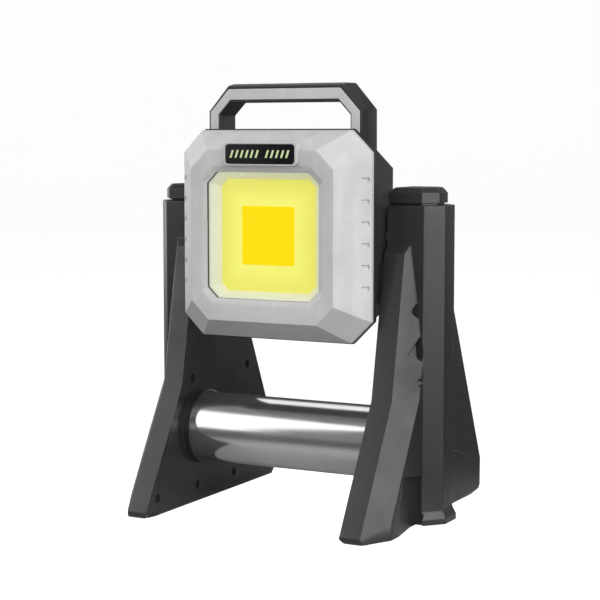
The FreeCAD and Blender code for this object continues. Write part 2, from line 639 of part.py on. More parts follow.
def sink_screws():
    screws = []
    for x, dz in SINK_POSTS:
        head = rod_y(2.4, SINK_Y + 4.0, SINK_Y + 5.6, x, HEAD_Z + dz)
        shank = rod_y(1.25, FACE_Y + 6.0, SINK_Y + 4.0, x, HEAD_Z + dz)
        slot = box(x - 1.6, x + 1.6, SINK_Y + 5.0, SINK_Y + 6, HEAD_Z + dz - 0.3, HEAD_Z + dz + 0.3)
        screws.append(cut(join(head, shank), slot))
    return Part.Compound(screws)


def housing_seal():
    ring = prism_y(octagon(RIM_OUTLINE, 3.1), JOINT_Y - 1.0, JOINT_Y)
    return cut(ring, prism_y(octagon(RIM_OUTLINE, 5.2), JOINT_Y - 2, JOINT_Y + 1))


def rear_housing():
    flange = prism_y(octagon(FLANGE_OUTLINE), JOINT_Y, BODY_Y)
    trunk = prism_y(octagon(HOUSING_OUTLINE), BODY_Y - 0.5, SHOULDER_Y)
    tail = taper_y(octagon(HOUSING_OUTLINE), SHOULDER_Y, octagon(BACK_OUTLINE), BACK_Y)
    housing = join(flange, trunk, tail)
    # side pads that carry the tilt pins, and two ribs across the back
    for side in (-1, 1):
        x0, x1 = (68.0, PAD_X) if side > 0 else (-PAD_X, -68.0)
        pad = box(x0, x1, BODY_Y - 0.5, SHOULDER_Y - 0.5, HEAD_Z - 18.3, HEAD_Z + 18.3)
        housing = join(housing, pad)
    for z in (-24.0, 24.0):
        rib = box(-40.0, 40.0, BACK_Y - 1, BACK_Y + 1.2, HEAD_Z + z - 1.2, HEAD_Z + z + 1.2)
        housing = join(housing, rib)
    hollow = prism_y(octagon(HOUSING_OUTLINE, 3.0), JOINT_Y - 1, SHOULDER_Y - 1.0)
    deep = taper_y(octagon(HOUSING_OUTLINE, 3.0), SHOULDER_Y - 1.0, octagon(BACK_OUTLINE, 2.0), BACK_Y - 3.0)
    housing = cut(housing, hollow, deep)
    for x, dz in POSTS:
        housing = join(housing, rod_y(4.6, JOINT_Y, BACK_Y - 2.5, x, HEAD_Z + dz))
        housing = cut(housing, rod_y(1.65, JOINT_Y - 1, BACK_Y + 1, x, HEAD_Z + dz))
        housing = cut(housing, rod_y(3.2, -20.0, BACK_Y + 2, x, HEAD_Z + dz))
    for side in (-1, 1):
        x0, x1 = (60.0, 80.0) if side > 0 else (-80.0, -60.0)
        housing = cut(housing, rod_x(PIN_RADIUS, x0, x1, PIVOT_Y, HEAD_Z))
    # button opening, charging port opening, indicator slot
    housing = cut(housing, round_box(-7.4, 7.4, -5, BACK_Y + 3, BUTTON_Z - 7.4, BUTTON_Z + 7.4, 2.6))
    housing = cut(housing, round_box(-6.4, 6.4, -5, BACK_Y + 3, PORT_Z - 3.4, PORT_Z + 3.4, 2.4))
    housing = cut(housing, round_box(-8.0, 8.0, -5, BACK_Y + 3, BUTTON_Z - 16.4, BUTTON_Z - 13.6, 1.3))
    # posts for the switch board and a shelf for the charging board
    for x in SWITCH_POSTS:
        housing = join(housing, rod_y(2.2, SWITCH_Y, BACK_Y - 2.5, x, BUTTON_Z))
        housing = cut(housing, rod_y(0.9, SWITCH_Y - 1, SWITCH_Y + 5, x, BUTTON_Z))
    shelf = box(-10.0, 10.0, -12.0, BACK_Y - 2.5, PORT_Z - 6.4, PORT_Z - 3.6)
    housing = join(housing, shelf)
    # hinge lugs of the port flap
    for side in (-1, 1):
        x0, x1 = (6.6, 8.6) if side > 0 else (-8.6, -6.6)
        lug = box(x0, x1, BACK_Y - 1, FLAP_Y + 1.5, FLAP_Z - 1.5, FLAP_Z + 1.5)
        housing = join(housing, lug)
    housing = cut(housing, rod_x(FLAP_PIN, -9, 9, FLAP_Y, FLAP_Z))
    # screws of the handle come up through the shoulders
    for side in (-1, 1):
        housing = cut(housing, handle_screw_hole(side, 1.6, 2.0, -4.0))
    return housing


SWITCH_Y = -5.6
SWITCH_POSTS = (-11.6, 11.6)
FLAP_Y = BACK_Y + 2.4
FLAP_Z = PORT_Z + 8.0
FLAP_PIN = 0.8
SHOULDER_POINT = (55.0, HEAD_Z + 62.0)


def handle_screw_hole(side, radius, outer, inner):
    """A rod square to the shoulder, from an inner to an outer distance off its face."""
    x, z = SHOULDER_POINT
    step = math.sqrt(0.5)
    middle_y = (HANDLE_FRONT_Y + HANDLE_BACK_Y) / 2
    start = V(side * (x + inner * step), middle_y, z + inner * step)
    return Part.makeCylinder(radius, outer - inner, start, V(side * step, 0, step))


def handle_screws():
    screws = []
    for side in (-1, 1):
        head = handle_screw_hole(side, 2.7, -3.0, -5.0)
        shank = handle_screw_hole(side, 1.5, 5.5, -3.0)
        screws.append(join(head, shank))
    return Part.Compound(screws)


def handle_outline(half, top, corner_x, corner_z, foot):
    """(x, z) outline of an upright arch with cut corners; foot gives the leg bottoms."""
    return [(half, foot), (half, top - corner_z), (half - corner_x, top),
            (-half + corner_x, top), (-half, top - corner_z), (-half, foot)]


def handle_frame():
    low = HEAD_Z + 50.0
    outer = handle_outline(HANDLE_HALF, HANDLE_TOP_Z, 16.0, 18.4, low)
    slim = handle_outline(HANDLE_HALF - 1.3, HANDLE_TOP_Z - 1.3, 15.6, 17.8, low)
    inner_half = HANDLE_HALF - HANDLE_BAR
    inner = handle_outline(inner_half, 289.6, 8.6, 9.0, low - 1)
    crease = HANDLE_FRONT_Y + 8.0
    body = join(taper_y(slim, HANDLE_FRONT_Y, outer, crease), prism_y(outer, crease, HANDLE_BACK_Y))
    body = cut(body, prism_y(inner, HANDLE_FRONT_Y - 1, HANDLE_BACK_Y + 1))
    # the legs are cut to the slope of the housing's shoulders
    body = cut(body, prism_y(octagon(HOUSING_OUTLINE), HANDLE_FRONT_Y - 1, HANDLE_BACK_Y + 1))
    body = cut(body, handle_trim_slot(0.0))
    for side in (-1, 1):
        body = cut(body, handle_screw_hole(side, 1.5, 5.5, -1.0))
    return body


def handle_trim_slot(front):
    """The inlaid front strip of the handle, from a distance in front of it."""
    low = HEAD_Z + 69.6
    outer = handle_outline(58.3, 298.9, 14.8, 16.0, low)
    inner = handle_outline(52.2, 291.4, 9.6, 10.2, low - 1)
    strip = prism_y(outer, HANDLE_FRONT_Y - front, HANDLE_FRONT_Y + 1.6)
    return cut(strip, prism_y(inner, HANDLE_FRONT_Y - 2, HANDLE_FRONT_Y + 3))


def handle_trim():
    return handle_trim_slot(0.7)


def label_plate():
    return round_box(-26.4, 26.4, LABEL_Y, LABEL_Y + 1.1, LABEL_Z0, LABEL_Z1, 2.2)


def label_marks():
    """A generic row of slanted bars on the label, in place of lettering."""
    marks = []
    for i in range(12):
        if i == 6:
            continue
        x = -23.0 + 3.9 * i
        z = LABEL_Z0 + 4.1
        bar = [(x, z), (x + 1.5, z), (x + 3.3, z + 5.2), (x + 1.8, z + 5.2)]
        marks.append(prism_y(bar, LABEL_Y - 0.2, LABEL_Y))
    return Part.Compound(marks)


def battery_cells():
    cells = []
    for dz in (-10.4, 10.4):
        can = rod_x(9.2, -32.5, 32.0, -17.0, HEAD_Z + dz)
        nub = rod_x(3.0, 31.9, 33.4, -17.0, HEAD_Z + dz)
        cells.append(join(can, nub))
    return Part.Compound(cells)


def battery_cradle():
    """Tray that holds the cells behind it and the driver board in front of it."""
    plate = box(-38.0, 38.0, -30.4, -28.4, HEAD_Z - 24.0, HEAD_Z + 24.0)
    cheeks = [box(-38.0, -35.0, -28.5, 1.0, HEAD_Z - 22.0, HEAD_Z + 22.0),
              box(35.0, 38.0, -28.5, 1.0, HEAD_Z - 22.0, HEAD_Z + 22.0)]
    saddle = box(-24.0, 24.0, -28.5, -20.0, HEAD_Z - 21.0, HEAD_Z + 21.0)
    for dz in (-10.4, 10.4):
        saddle = cut(saddle, rod_x(9.3, -40, 40, -17.0, HEAD_Z + dz))
    studs = [rod_y(2.0, -33.0, -30.3, x, HEAD_Z + z) for x in (-25.0, 25.0) for z in (-16.0, 16.0)]
    cradle = join(plate, *cheeks)
    saddle = saddle.cut(box(-14.0, 14.0, -28.6, -19.0, HEAD_Z - 30, HEAD_Z + 30))
    for side in (-1, 1):
        x0, x1 = (34.1, 35.0) if side > 0 else (-35.0, -34.1)
        cradle = cut(cradle, box(x0, x1, -31.0, -28.0, HEAD_Z - 3.1, HEAD_Z + 3.1))
    return join(cradle, saddle, *studs)


DRIVER_Y = -34.6
LEAD_RADIUS = 0.8


def driver_board():
    board = box(-36.0, 36.0, DRIVER_Y, -33.0, HEAD_Z - 28.0, HEAD_Z + 28.0)
    choke = box(-20.0, -9.0, -38.6, -34.6, HEAD_Z - 6.0, HEAD_Z + 6.0)
    chip = box(0.0, 6.0, -36.0, -34.6, HEAD_Z - 2.5, HEAD_Z + 2.5)
    caps = [rod_y(2.6, -38.6, -34.6, x, HEAD_Z + 9.0) for x in (12.0, 19.0)]
    return join(board, choke, chip, *caps)


def contact_plates():
    """Contacts at both ends of the cells; a tab of each runs forward to the driver board."""
    right = box(34.2, 35.0, -22.0, -12.0, HEAD_Z - 16.0, HEAD_Z + 16.0)
    right = right.fuse(box(34.2, 35.0, -33.0, -21.0, HEAD_Z - 3.0, HEAD_Z + 3.0))
    tabs = [rod_x(2.4, 33.4, 34.3, -17.0, HEAD_Z + dz) for dz in (-10.4, 10.4)]
    left = box(-35.0, -34.2, -22.0, -12.0, HEAD_Z - 16.0, HEAD_Z + 16.0)
    left = left.fuse(box(-35.0, -34.2, -33.0, -21.0, HEAD_Z - 3.0, HEAD_Z + 3.0))
    buttons = [rod_x(3.4, -34.3, -32.5, -17.0, HEAD_Z + dz) for dz in (-10.4, 10.4)]
    return Part.Compound([join(right, *tabs), join(left, *buttons)])


def lead_wires():
    """Leads from the driver board to the light board, the switch and the charging board."""
    runs = []
    for side in (-1, 1):
        x = side * LIGHT_LEAD_X
        z = HEAD_Z - 15.0
        runs.append(lead([(x, DRIVER_Y, z), (x, DRIVER_Y - 5.6, z), (x, DRIVER_Y - 5.6, LIGHT_LEAD_Z),
                          (x, SINK_Y, LIGHT_LEAD_Z)], 4.0, LEAD_RADIUS))
        x = side * 6.0
        z = HEAD_Z + 26.2
        runs.append(lead([(x, -33.0, z), (x, -13.0, z), (x, -13.0, BUTTON_Z - 3.0),
                          (x, SWITCH_Y - 1.4, BUTTON_Z - 3.0)], 3.0, LEAD_RADIUS))
        z = HEAD_Z - 26.2
        runs.append(lead([(x, -33.0, z), (x, -9.6, z), (x, -9.6, PORT_Z - 2.2)], 4.0, LEAD_RADIUS))
    return Part.Compound(runs)


# ------------------------------------------------------------------ controls on the back
def power_button():
    cap = round_box(-7.0, 7.0, 0.2, BACK_Y + 2.2, BUTTON_Z - 7.0, BUTTON_Z + 7.0, 2.4)
    rims = [e for e in cap.Edges if e.BoundBox.YMin > BACK_Y + 2.1]
    cap = cap.makeChamfer(0.7, rims)
    skirt = round_box(-8.6, 8.6, -1.2, 0.7, BUTTON_Z - 8.6, BUTTON_Z + 8.6, 3.0)
    return join(cap, skirt)


def switch_board():
    board = box(-14.0, 14.0, SWITCH_Y - 1.4, SWITCH_Y, BUTTON_Z - 6.0, BUTTON_Z + 6.0)
    body = box(-3.0, 3.0, SWITCH_Y - 0.1, SWITCH_Y + 2.4, BUTTON_Z - 3.0, BUTTON_Z + 3.0)
    plunger = rod_y(1.6, SWITCH_Y + 2.3, SWITCH_Y + 2.7, 0, BUTTON_Z)
    board = join(board, body, plunger)
    return cut(board, *[rod_y(0.9, -10, 0, x, BUTTON_Z) for x in SWITCH_POSTS])


def switch_screws():
    screws = []
    for x in SWITCH_POSTS:
        head = rod_y(1.8, SWITCH_Y - 2.6, SWITCH_Y - 1.4, x, BUTTON_Z)
        shank = rod_y(0.9, SWITCH_Y - 1.4, SWITCH_Y + 4.0, x, BUTTON_Z)
        screws.append(join(head, shank))
    return Part.Compound(screws)


def charge_indicator():
    return round_box(-8.0, 8.0, 0.2, BACK_Y + 0.2, BUTTON_Z - 16.4, BUTTON_Z - 13.6, 1.3)


def charge_board():
    """Small board with the charging socket on it."""
    return box(-9.0, 9.0, -11.5, -0.5, PORT_Z - 3.6, PORT_Z - 2.2)


def charge_port():
    shell = round_box(-4.5, 4.5, -7.0, 1.6, PORT_Z - 2.2, PORT_Z + 1.1, 1.5)
    shell = cut(shell, round_box(-4.15, 4.15, -5.6, 2.0, PORT_Z - 1.85, PORT_Z + 0.75, 1.2))
    tongue = box(-3.2, 3.2, -6.0, 1.0, PORT_Z - 0.9, PORT_Z - 0.2)
    return join(shell, tongue)


def port_cover():
    """Soft flap over the charging socket, hung from a cross pin above it."""
    plate = round_box(-8.0, 8.0, BACK_Y + SLACK, BACK_Y + 1.9, PORT_Z - 5.6, PORT_Z + 4.6, 2.4)
    plug = round_box(-5.2, 5.2, BACK_Y - 1.0, BACK_Y + 0.6, PORT_Z - 2.2, PORT_Z + 2.0, 1.6)
    neck = box(-5.0, 5.0, BACK_Y + 0.9, BACK_Y + 1.9, PORT_Z + 4.0, FLAP_Z)
    barrel = rod_x(1.5, -6.2, 6.2, FLAP_Y, FLAP_Z)
    tab = box(-3.0, 3.0, BACK_Y + 1.2, BACK_Y + 2.8, PORT_Z - 7.4, PORT_Z - 5.0)
    flap = join(plate, plug, neck, barrel, tab)
    return cut(flap, rod_x(FLAP_PIN + 0.05, -10, 10, FLAP_Y, FLAP_Z))


def flap_pin():
    return rod_x(FLAP_PIN, -8.6, 8.6, FLAP_Y, FLAP_Z)


def housing_screws():
    screws = []
    for x, dz in POSTS:
        head = rod_y(2.9, -20.0, -17.4, x, HEAD_Z + dz)
        shank = rod_y(1.5, -48.0, -20.0, x, HEAD_Z + dz)
        slot = box(x - 2.0, x + 2.0, -18.4, -17, HEAD_Z + dz - 0.35, HEAD_Z + dz + 0.35)
        cross = box(x - 0.35, x + 0.35, -18.4, -17, HEAD_Z + dz - 2.0, HEAD_Z + dz + 2.0)
        screws.append(cut(join(head, shank), slot, cross))
    return Part.Compound(screws)


# ------------------------------------------------------------------ write every node
RIGHT_HAND = {
    "outer_shell": outer_shell,
    "inner_cover": inner_cover,
    "cover_screws": cover_screws,
    "top_cap": top_cap,
    "foot_pads": foot_pads,
    "tube_socket": tube_socket,
    "pivot_bush": pivot_bush,
    "friction_washer": friction_washer,
    "pivot_pin": pivot_pin,
    "disc_spring": disc_spring,
    "lock_nut": lock_nut,
}
SINGLE = {
    "crossbar_tube": crossbar_tube,
    "tube_plugs": tube_plugs,
    "tube_screws": tube_screws,
    "front_bezel": front_bezel,
    "lens_gasket": lens_gasket,
    "lens": lens,
    "reflector": reflector,
    "cob_board": cob_board,
    "cob_emitter": cob_emitter,
    "board_screws": board_screws,
    "heat_sink": heat_sink,
    "sink_screws": sink_screws,
    "housing_seal": housing_seal,
    "rear_housing": rear_housing,
    "housing_screws": housing_screws,
    "handle_frame": handle_frame,
    "handle_trim": handle_trim,
    "handle_screws": handle_screws,
    "label_plate": label_plate,
    "label_marks": label_marks,
    "battery_cells": battery_cells,
    "battery_cradle": battery_cradle,
    "contact_plates": contact_plates,
    "driver_board": driver_board,
    "lead_wires": lead_wires,
    "power_button": power_button,
    "switch_board": switch_board,
    "switch_screws": switch_screws,
    "charge_indicator": charge_indicator,
    "charge_board": charge_board,
    "charge_port": charge_port,
    "port_cover": port_cover,
    "flap_pin": flap_pin,
}

os.makedirs("parts", exist_ok=True)
for name, build in RIGHT_HAND.items():
    shape = build()
    shape.exportStep("parts/right_" + name + ".step")
    mirrored(shape).exportStep("parts/left_" + name + ".step")
for name, build in SINGLE.items():
    build().exportStep("parts/" + name + ".step")
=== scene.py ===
"""Looks of the work light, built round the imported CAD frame.  Metres, in the CAD's frame:
X to the right seen from the lit front, Y towards the back, Z up, floor at Z = 0.
"""
import json
import math

import bpy
import bmesh
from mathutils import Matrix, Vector


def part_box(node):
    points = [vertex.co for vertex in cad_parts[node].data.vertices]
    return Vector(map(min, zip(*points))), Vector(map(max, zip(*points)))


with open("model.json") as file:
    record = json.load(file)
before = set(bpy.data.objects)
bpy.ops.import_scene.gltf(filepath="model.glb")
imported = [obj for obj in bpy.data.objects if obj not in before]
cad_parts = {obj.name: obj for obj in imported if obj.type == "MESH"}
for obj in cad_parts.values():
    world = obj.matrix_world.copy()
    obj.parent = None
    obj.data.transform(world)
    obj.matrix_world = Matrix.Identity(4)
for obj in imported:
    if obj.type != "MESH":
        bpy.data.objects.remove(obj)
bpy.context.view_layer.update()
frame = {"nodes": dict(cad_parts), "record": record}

MM = 0.001
SIDES = ("left", "right")
CAMERA_TURN = 27.67     # degrees the camera stands to the right of the lit front
CAMERA_DOWN = 5.64      # degrees it looks down
WHITE = (1.0, 1.0, 1.0, 1.0)
nodes = frame["nodes"]


# ------------------------------------------------------------------ shader building
class Shader:
    """A Principled material with short calls for the nodes that feed it."""

    def __init__(self, name, colour, rough, metallic=0.0, specular=0.5):
        self.material = bpy.data.materials.new(name)
        self.material.use_nodes = True
        self.tree = self.material.node_tree
        self.bsdf = self.tree.nodes["Principled BSDF"]
        self.colour = colour
        self.bsdf.inputs["Base Color"].default_value = (*colour, 1.0)
        self.bsdf.inputs["Roughness"].default_value = rough
        self.bsdf.inputs["Metallic"].default_value = metallic
        self.bsdf.inputs["Specular IOR Level"].default_value = specular
        self.place = self.node("ShaderNodeTexCoord").outputs["Object"]
        self.base = None
        self.dull = None
        self.bumps = []

    def node(self, kind, **settings):
        made = self.tree.nodes.new(kind)
        for key, value in settings.items():
            setattr(made, key, value)
        return made

    def link(self, a, b):
        self.tree.links.new(a, b)

    def stretched(self, scale):
        """Object coordinates with each axis scaled by its own factor."""
        mapping = self.node("ShaderNodeMapping")
        mapping.inputs["Scale"].default_value = scale
        self.link(self.place, mapping.inputs["Vector"])
        return mapping.outputs["Vector"]

    def noise(self, size, detail=3.0, rough=0.55, stretch=None):
        """Cloudy noise whose features are about size metres across."""
        made = self.node("ShaderNodeTexNoise")
        made.inputs["Scale"].default_value = 1.0 / size
        made.inputs["Detail"].default_value = detail
        made.inputs["Roughness"].default_value = rough
        self.link(self.stretched(stretch) if stretch else self.place, made.inputs["Vector"])
        return made.outputs["Fac"]

    def ranged(self, value, low, high, to_low, to_high):
        made = self.node("ShaderNodeMapRange")
        made.inputs["From Min"].default_value = low
        made.inputs["From Max"].default_value = high
        made.inputs["To Min"].default_value = to_low
        made.inputs["To Max"].default_value = to_high
        self.link(value, made.inputs["Value"])
        return made.outputs["Result"]

    def maths(self, kind, a, b):
        made = self.node("ShaderNodeMath", operation=kind)
        for socket, value in zip(made.inputs, (a, b)):
            if isinstance(value, (int, float)):
                socket.default_value = value
            else:
                self.link(value, socket)
        return made.outputs["Value"]

    def mixed(self, factor, a, b):
        """A colour between a and b, each a colour or a socket."""
        made = self.node("ShaderNodeMix", data_type="RGBA")
        self.link(factor, made.inputs["Factor"])
        for key, value in (("A", a), ("B", b)):
            socket = [s for s in made.inputs if s.name == key and s.type == "RGBA"][0]
            if isinstance(value, tuple):
                socket.default_value = (*value, 1.0)
            else:
                self.link(value, socket)
        return [s for s in made.outputs if s.type == "RGBA"][0]

    def tint(self, factor, colour):
        """Pull the base colour towards another one where the factor is high."""
        self.base = self.mixed(factor, self.base or self.colour, colour)

    def roughen(self, value, low, high):
        """Let a 0..1 pattern move the roughness between two values."""
        self.dull = self.ranged(value, 0.3, 0.7, low, high)

    def bump(self, value, depth, strength=1.0):
        self.bumps.append((value, depth, strength))

    def edge_mask(self, radius, start=0.03, full=0.30):
        """0 on flat faces, rising to 1 on convex and concave edges."""
        soft = self.node("ShaderNodeBevel", samples=4)
        soft.inputs["Radius"].default_value = radius
        flat = self.node("ShaderNodeNewGeometry")
        dot = self.node("ShaderNodeVectorMath", operation="DOT_PRODUCT")
        self.link(soft.outputs["Normal"], dot.inputs[0])
        self.link(flat.outputs["Normal"], dot.inputs[1])
        return self.ranged(dot.outputs["Value"], 1.0 - start, 1.0 - full, 0.0, 1.0)

    def done(self):
        if self.base is not None:
            self.link(self.base, self.bsdf.inputs["Base Color"])
        if self.dull is not None:
            self.link(self.dull, self.bsdf.inputs["Roughness"])
        last = None
        for value, depth, strength in self.bumps:
            made = self.node("ShaderNodeBump")
            made.inputs["Distance"].default_value = depth
            made.inputs["Strength"].default_value = strength
            self.link(value, made.inputs["Height"])
            if last is not None:
                self.link(last, made.inputs["Normal"])
            last = made.outputs["Normal"]
        if last is not None:
            self.link(last, self.bsdf.inputs["Normal"])
        return self.material


def moulded(name, colour, rough, grain=0.5 * MM, depth=0.02 * MM, wear_and_highlight=None, wear_and_highlight_share=0.5):
    """Moulded plastic: spark-eroded grain, faint flow marks, and, if an edge colour is given, paler
    edges: rubbed wear and painted edge highlight.
    """
    shader = Shader(name, colour, rough)
    cloud = shader.noise(28 * MM, 4.0, 0.6)
    flow = shader.noise(9 * MM, 3.0, 0.5, stretch=(1.0, 1.0, 0.25))
    darker = tuple(c * 0.86 for c in colour)
    lighter = tuple(min(1.0, c * 1.12) for c in colour)
    shader.tint(shader.ranged(cloud, 0.35, 0.65, 0.0, 0.7), darker)
    shader.tint(shader.ranged(flow, 0.5, 0.72, 0.0, 0.5), lighter)
    if wear_and_highlight is not None:
        # paler edges: partly rubbed wear, partly painted highlight on convex and concave edges
        patchy = shader.ranged(shader.noise(5 * MM, 3.0, 0.7), 0.38, 0.62, 0.25, 1.0)
        wear_and_highlight_mask = shader.maths("MULTIPLY", shader.edge_mask(0.7 * MM), patchy)
        shader.tint(shader.maths("MULTIPLY", wear_and_highlight_mask, wear_and_highlight_share), wear_and_highlight)
    shader.roughen(cloud, rough - 0.05, rough + 0.07)
    shader.bump(shader.noise(grain, 2.0, 0.6), depth)
    shader.bump(flow, 0.05 * MM, 0.35)
    return shader.done()


def metal(name, colour, rough, grain_axis=(1.0, 1.0, 1.0), depth=0.004 * MM):
    """Plated or machined metal: fine grain, drawn out by grain_axis, and slight staining."""
    shader = Shader(name, colour, rough, metallic=1.0)
    lines = shader.noise(0.4 * MM, 2.0, 0.5, stretch=grain_axis)
    stain = shader.noise(6 * MM, 4.0, 0.6)
    tarnish = tuple(c * 0.75 for c in colour)
    shader.tint(shader.ranged(stain, 0.45, 0.75, 0.0, 0.6), tarnish)
    shader.roughen(stain, max(0.03, rough - 0.06), rough + 0.1)
    shader.bump(lines, depth)
    return shader.done()


# ------------------------------------------------------------------ materials
BLACK = (0.013, 0.013, 0.014)
# edge colour for black plastic: rubbed wear plus painted edge highlight
BLACK_WEAR_AND_HIGHLIGHT = (0.10, 0.10, 0.105)
GREY = (0.462, 0.462, 0.455)

black_plastic = moulded("black_plastic", BLACK, 0.35, wear_and_highlight=BLACK_WEAR_AND_HIGHLIGHT, wear_and_highlight_share=0.55, depth=0.03 * MM)
head_plastic = moulded("head_plastic", BLACK, 0.36, wear_and_highlight=BLACK_WEAR_AND_HIGHLIGHT, wear_and_highlight_share=0.5,
                       depth=0.025 * MM)
inner_plastic = moulded("inner_plastic", (0.05, 0.05, 0.055), 0.5)
grey_plastic = moulded("grey_plastic", GREY, 0.44, wear_and_highlight=(0.66, 0.66, 0.65), wear_and_highlight_share=0.45,
                       depth=0.02 * MM)
rubber = moulded("black_rubber", (0.022, 0.022, 0.023), 0.72, grain=0.35 * MM, depth=0.03 * MM,
                 wear_and_highlight=(0.06, 0.06, 0.06), wear_and_highlight_share=0.4)
board_mask = moulded("board_mask", (0.03, 0.20, 0.09), 0.35, grain=0.3 * MM)
insulation = moulded("lead_insulation", (0.45, 0.03, 0.03), 0.45, grain=0.3 * MM)
cell_sleeve = moulded("cell_sleeve", (0.05, 0.22, 0.16), 0.3, grain=0.4 * MM)
fibre = moulded("friction_fibre", (0.24, 0.18, 0.13), 0.8, grain=0.25 * MM, depth=0.05 * MM)
zinc = metal("zinc_steel", (0.62, 0.62, 0.60), 0.30)
bronze = metal("bearing_bronze", (0.62, 0.42, 0.22), 0.38)
aluminium = metal("sink_aluminium", (0.72, 0.72, 0.73), 0.35, grain_axis=(1.0, 1.0, 0.05))


def dark_screw():
    """Black-lacquered screw heads, a little paler where the driver has rubbed."""
    shader = Shader("dark_screw", (0.008, 0.008, 0.009), 0.38, specular=0.4)
    rub = shader.noise(0.8 * MM, 3.0, 0.6)
    shader.tint(shader.ranged(rub, 0.55, 0.75, 0.0, 0.5), (0.06, 0.06, 0.062))
    shader.roughen(rub, 0.28, 0.45)
    shader.bump(shader.noise(0.3 * MM), 0.01 * MM)
    return shader.done()


def chrome():
    """Polished plate: faint turned rings round the tube, hazy handling marks."""
    shader = Shader("chromed_tube", (0.49, 0.49, 0.50), 0.14, metallic=0.93)
    shader.bsdf.inputs["Anisotropic"].default_value = 0.85
    tangent = shader.node("ShaderNodeTangent", direction_type="RADIAL", axis="X")
    shader.link(tangent.outputs["Tangent"], shader.bsdf.inputs["Tangent"])
    rings = shader.noise(0.5 * MM, 2.0, 0.5, stretch=(1.0, 0.02, 0.02))
    haze = shader.noise(22 * MM, 5.0, 0.65)
    streak = shader.noise(6 * MM, 4.0, 0.6, stretch=(0.15, 1.0, 1.0))
    shader.tint(shader.ranged(haze, 0.5, 0.8, 0.0, 0.4), (0.40, 0.40, 0.42))
    shader.roughen(streak, 0.10, 0.17)
    shader.bump(rings, 0.0012 * MM)
    shader.bump(streak, 0.01 * MM, 0.5)
    return shader.done()


def clear_lens():
    """Thin clear plate: see-through, with a mirror share that is small except at glancing angles."""
    straight_on = 0.035
    polished, smeared = 0.03, 0.14
    shader = Shader("clear_lens", (0.975, 0.98, 0.965), polished)
    tree = shader.tree
    tree.nodes.remove(shader.bsdf)
    glossy = shader.node("ShaderNodeBsdfGlossy")
    clear = shader.node("ShaderNodeBsdfTransparent")
    clear.inputs["Color"].default_value = (*shader.colour, 1.0)
    facing = shader.node("ShaderNodeLayerWeight").outputs["Facing"]
    mirror = shader.ranged(shader.maths("POWER", facing, 5.0), 0.0, 1.0, straight_on, 1.0)
    smear = shader.noise(14 * MM, 5.0, 0.65)
    shader.link(shader.ranged(smear, 0.35, 0.7, polished, smeared), glossy.inputs["Roughness"])
    mix = shader.node("ShaderNodeMixShader")
    shader.link(mirror, mix.inputs["Fac"])
    shader.link(clear.outputs["BSDF"], mix.inputs[1])
    shader.link(glossy.outputs["BSDF"], mix.inputs[2])
    shader.link(mix.outputs["Shader"], tree.nodes["Material Output"].inputs["Surface"])
    return shader.material


def falloff(shader, centre, half, soft):
    """1 inside a square in the XZ plane round centre, falling to 0 over a soft margin."""
    split = shader.node("ShaderNodeSeparateXYZ")
    shader.link(shader.place, split.inputs["Vector"])
    reach = None
    for axis, middle in (("X", centre[0]), ("Z", centre[2])):
        offset = shader.maths("ABSOLUTE", shader.maths("SUBTRACT", split.outputs[axis], middle), 0.0)
        reach = offset if reach is None else shader.maths("MAXIMUM", reach, offset)
    return shader.ranged(reach, half, half + soft, 1.0, 0.0)


def board_painted_glow(centre, half):
    """Board round the lit emitter: pale yellow, with a painted glow (emission) that is brightest next to
    the emitter.
    """
    shader = Shader("light_board", (0.36, 0.36, 0.10), 0.35, specular=0.2)
    painted_glow = falloff(shader, centre, half, 14 * MM)
    cloud = shader.noise(7 * MM, 3.0, 0.5)
    # painted glow: emission colour brighter in the square round the emitter, standing in for its light
    # on the board
    colour = shader.mixed(painted_glow, (0.64, 0.60, 0.10), (0.74, 0.72, 0.16))
    shader.link(shader.mixed(shader.ranged(cloud, 0.3, 0.8, 0.0, 0.35), colour, (0.66, 0.62, 0.07)),
                shader.bsdf.inputs["Emission Color"])
    shader.bsdf.inputs["Emission Strength"].default_value = 1.0
    shader.tint(shader.ranged(cloud, 0.4, 0.7, 0.0, 0.4), (0.32, 0.32, 0.07))
    shader.roughen(cloud, 0.3, 0.42)
    shader.bump(shader.noise(0.5 * MM), 0.01 * MM)
    return shader.done()


def reflector_painted_glow(depth_low, depth_high):
    """White frame round the light board, with a painted glow: emission painted yellow near the board and
    white at the lens.
    """
    shader = Shader("white_reflector", (0.46, 0.46, 0.40), 0.34, specular=0.3)
    split = shader.node("ShaderNodeSeparateXYZ")
    shader.link(shader.place, split.inputs["Vector"])
    painted_glow_towards_board = shader.ranged(split.outputs["Y"], depth_low, depth_high, 0.0, 1.0)
    # painted glow: the frame's emission turns from white to yellow towards the board, standing in for
    # the board's light
    shader.link(shader.mixed(painted_glow_towards_board, (0.42, 0.44, 0.36), (0.46, 0.44, 0.16)),
                shader.bsdf.inputs["Emission Color"])
    shader.bsdf.inputs["Emission Strength"].default_value = 0.9
    cloud = shader.noise(6 * MM, 3.0, 0.5)
    shader.tint(shader.ranged(cloud, 0.4, 0.7, 0.0, 0.4), (0.42, 0.42, 0.36))
    shader.roughen(cloud, 0.26, 0.38)
    shader.bump(shader.noise(0.8 * MM), 0.006 * MM)
    return shader.done()


def phosphor():
    """Lit phosphor sheet of the emitter, slightly uneven."""
    shader = Shader("light_emitter", (0.20, 0.14, 0.0), 0.5, specular=0.1)
    cloud = shader.noise(5 * MM, 3.0, 0.5)
    colour = shader.mixed(shader.ranged(cloud, 0.35, 0.65, 0.0, 1.0), (1.0, 0.69, 0.0), (1.0, 0.72, 0.0))
    shader.link(colour, shader.bsdf.inputs["Emission Color"])
    shader.bsdf.inputs["Emission Strength"].default_value = 1.0
    shader.roughen(cloud, 0.45, 0.6)
    shader.bump(shader.noise(0.6 * MM, 2.0), 0.02 * MM)
    return shader.done()


